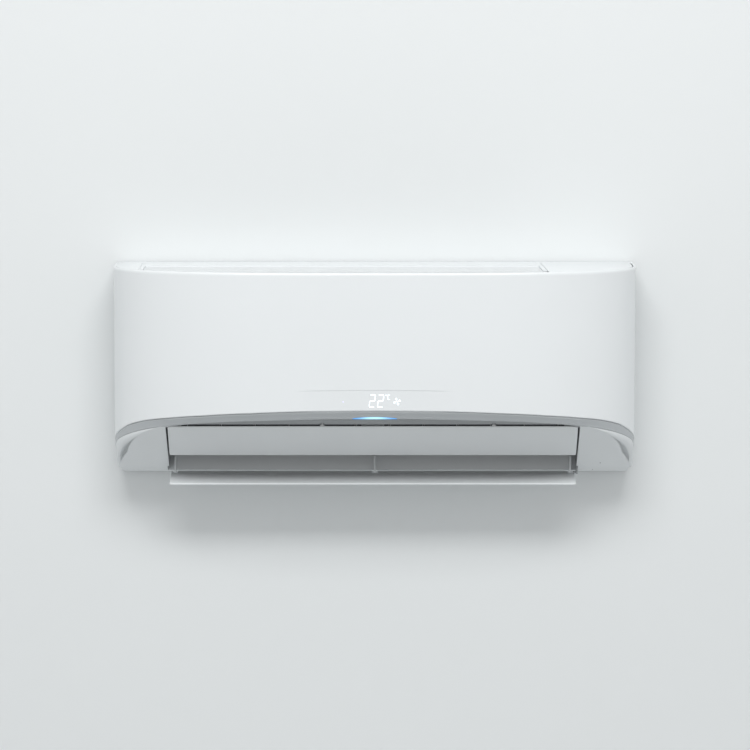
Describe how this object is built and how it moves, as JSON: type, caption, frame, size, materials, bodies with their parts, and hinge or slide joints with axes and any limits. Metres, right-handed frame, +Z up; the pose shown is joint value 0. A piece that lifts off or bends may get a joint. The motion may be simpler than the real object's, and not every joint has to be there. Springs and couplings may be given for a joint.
{
  "type": "mini split indoor unit",
  "caption": "Wall-hung air conditioner indoor unit: curved hinged front panel, top air intake, and a bottom outlet with two flaps and linked vanes over a cross-flow fan.",
  "frame": {"origin": "centre of the mounting plate's back face, on the wall", "axes": "+X to the right of a person facing the unit, +Y into the wall, +Z up"},
  "size_m": [0.765, 0.214, 0.3206],
  "materials": {
    "gloss_white_panel": "smooth gloss, slightly cool white",
    "satin_white_plastic": "fine satin moulding, slightly cool white",
    "silver_grey_trim": "satin silver grey",
    "light_bar_glow": "translucent, lit pale blue",
    "inner_grey_plastic": "matt moulding",
    "dark_fan_plastic": "matt glass-filled moulding",
    "filter_net": "fine woven net in a moulded frame",
    "black_rubber": "matt",
    "zinc_sheet": "zinc-plated sheet",
    "bright_steel": "turned",
    "aluminium_fins": "close fins, satin",
    "copper_tube": "drawn copper, slightly dull",
    "flare_brass": "machined",
    "circuit_board": "green solder mask",
    "smoked_lens": "milky diffuser"
  },
  "bodies": {
    "housing": {"mounting_plate": "zinc_sheet", "rear_chassis": "satin_white_plastic", "cabinet": "satin_white_plastic", "top_grille": "satin_white_plastic", "top_cover_right": "satin_white_plastic", "lower_trim": "silver_grey_trim", "led_light_bar": "light_bar_glow", "end_cap_left": "satin_white_plastic", "end_cap_right": "satin_white_plastic", "outlet_duct": "inner_grey_plastic", "drain_pan": "inner_grey_plastic", "drain_plug": "black_rubber", "bearing_bush": "black_rubber", "fan_motor": "zinc_sheet", "motor_clamp": "inner_grey_plastic", "evaporator_front": "aluminium_fins", "evaporator_upper": "aluminium_fins", "evaporator_rear": "aluminium_fins", "coil_plate_left": "copper_tube", "coil_plate_right": "copper_tube", "air_filter_left": "filter_net", "air_filter_right": "filter_net", "suction_pipe": "copper_tube", "liquid_pipe": "copper_tube", "flare_nut_large": "flare_brass", "flare_nut_small": "flare_brass", "control_box": "inner_grey_plastic", "control_cover": "zinc_sheet", "main_board": "circuit_board", "display_board": "circuit_board", "display_lens": "smoked_lens", "flap_motor_upper": "zinc_sheet", "flap_motor_lower": "zinc_sheet", "air_sensor": "black_rubber", "cabinet_screw_left": "bright_steel", "cabinet_screw_right": "bright_steel"},
    "front_panel": {"front_panel": "gloss_white_panel"},
    "upper_flap": {"upper_flap": "satin_white_plastic"},
    "lower_flap": {"lower_flap": "satin_white_plastic"},
    "fan": {"cross_flow_fan": "dark_fan_plastic", "fan_shaft": "bright_steel", "motor_shaft": "bright_steel"},
    "vane_01": {"vane_01": "dark_fan_plastic"},
    "vane_02": {"vane_02": "dark_fan_plastic"},
    "vane_03": {"vane_03": "dark_fan_plastic"},
    "vane_04": {"vane_04": "dark_fan_plastic"},
    "vane_05": {"vane_05": "dark_fan_plastic"},
    "vane_06": {"vane_06": "dark_fan_plastic"},
    "vane_07": {"vane_07": "dark_fan_plastic"},
    "vane_08": {"vane_08": "dark_fan_plastic"},
    "vane_09": {"vane_09": "dark_fan_plastic"},
    "vane_10": {"vane_10": "dark_fan_plastic"},
    "vane_11": {"vane_11": "dark_fan_plastic"},
    "vane_12": {"vane_12": "dark_fan_plastic"},
    "vane_link_left": {"vane_link_left": "dark_fan_plastic"},
    "vane_link_right": {"vane_link_right": "dark_fan_plastic"},
    "manual_button": {"manual_button": "satin_white_plastic"}
  },
  "joints": [
    {"name": "front_panel_hinge", "type": "hinge", "parent": "housing", "child": "front_panel", "pos_m": [0, -0.19002, 0.144], "axis": [-1, 0, 0], "range_deg": [0, 55]},
    {"name": "upper_flap_hinge", "type": "hinge", "parent": "housing", "child": "upper_flap", "pos_m": [0, -0.15973, -0.07995], "axis": [1, 0, 0], "range_deg": [-52, 3]},
    {"name": "lower_flap_hinge", "type": "hinge", "parent": "housing", "child": "lower_flap", "pos_m": [0, -0.045, -0.1636], "axis": [1, 0, 0], "range_deg": [-43.6, 35]},
    {"name": "fan_spin", "type": "hinge", "parent": "housing", "child": "fan", "pos_m": [0, -0.084, -0.032], "axis": [1, 0, 0], "continuous": true},
    {"name": "vane_01_swing", "type": "hinge", "parent": "housing", "child": "vane_01", "pos_m": [-0.27871, -0.04, -0.103], "axis": [0, 1, 0], "range_deg": [-35, 35]},
    {"name": "vane_02_swing", "type": "hinge", "parent": "housing", "child": "vane_02", "pos_m": [-0.22854, -0.04, -0.103], "axis": [0, 1, 0], "range_deg": [-36, 36]},
    {"name": "vane_03_swing", "type": "hinge", "parent": "housing", "child": "vane_03", "pos_m": [-0.17836, -0.04, -0.103], "axis": [0, 1, 0], "range_deg": [-36, 36]},
    {"name": "vane_04_swing", "type": "hinge", "parent": "housing", "child": "vane_04", "pos_m": [-0.12819, -0.04, -0.103], "axis": [0, 1, 0], "range_deg": [-36, 36]},
    {"name": "vane_05_swing", "type": "hinge", "parent": "housing", "child": "vane_05", "pos_m": [-0.07801, -0.04, -0.103], "axis": [0, 1, 0], "range_deg": [-36, 36]},
    {"name": "vane_06_swing", "type": "hinge", "parent": "housing", "child": "vane_06", "pos_m": [-0.02784, -0.04, -0.103], "axis": [0, 1, 0], "range_deg": [-36, 36]},
    {"name": "vane_07_swing", "type": "hinge", "parent": "housing", "child": "vane_07", "pos_m": [0.02234, -0.04, -0.103], "axis": [0, 1, 0], "range_deg": [-35, 35]},
    {"name": "vane_08_swing", "type": "hinge", "parent": "housing", "child": "vane_08", "pos_m": [0.07251, -0.04, -0.103], "axis": [0, 1, 0], "range_deg": [-36, 36]},
    {"name": "vane_09_swing", "type": "hinge", "parent": "housing", "child": "vane_09", "pos_m": [0.12269, -0.04, -0.103], "axis": [0, 1, 0], "range_deg": [-36, 36]},
    {"name": "vane_10_swing", "type": "hinge", "parent": "housing", "child": "vane_10", "pos_m": [0.17286, -0.04, -0.103], "axis": [0, 1, 0], "range_deg": [-36, 36]},
    {"name": "vane_11_swing", "type": "hinge", "parent": "housing", "child": "vane_11", "pos_m": [0.22304, -0.04, -0.103], "axis": [0, 1, 0], "range_deg": [-36, 36]},
    {"name": "vane_12_swing", "type": "hinge", "parent": "housing", "child": "vane_12", "pos_m": [0.27321, -0.04, -0.103], "axis": [0, 1, 0], "range_deg": [-36, 36]},
    {"name": "vane_link_left_slide", "type": "slide", "parent": "housing", "child": "vane_link_left", "axis": [1, 0, 0], "range_m": [-0.0075, 0.0075]},
    {"name": "vane_link_right_slide", "type": "slide", "parent": "housing", "child": "vane_link_right", "axis": [1, 0, 0], "range_m": [-0.0075, 0.0075]},
    {"name": "manual_button_press", "type": "slide", "parent": "housing", "child": "manual_button", "axis": [0, 1, 0], "range_m": [0, 0.0015], "stiffness_N_per_m": 300, "springref_m": -0.0008}
  ],
  "couplings": [
    {"joint": "vane_02_swing", "follows": "vane_01_swing", "ratio": 1},
    {"joint": "vane_03_swing", "follows": "vane_01_swing", "ratio": 1},
    {"joint": "vane_04_swing", "follows": "vane_01_swing", "ratio": 1},
    {"joint": "vane_05_swing", "follows": "vane_01_swing", "ratio": 1},
    {"joint": "vane_06_swing", "follows": "vane_01_swing", "ratio": 1},
    {"joint": "vane_link_left_slide", "follows": "vane_01_swing", "m_per_rad": 0.012},
    {"joint": "vane_08_swing", "follows": "vane_07_swing", "ratio": 1},
    {"joint": "vane_09_swing", "follows": "vane_07_swing", "ratio": 1},
    {"joint": "vane_10_swing", "follows": "vane_07_swing", "ratio": 1},
    {"joint": "vane_11_swing", "follows": "vane_07_swing", "ratio": 1},
    {"joint": "vane_12_swing", "follows": "vane_07_swing", "ratio": 1},
    {"joint": "vane_link_right_slide", "follows": "vane_07_swing", "m_per_rad": 0.012}
  ]
}
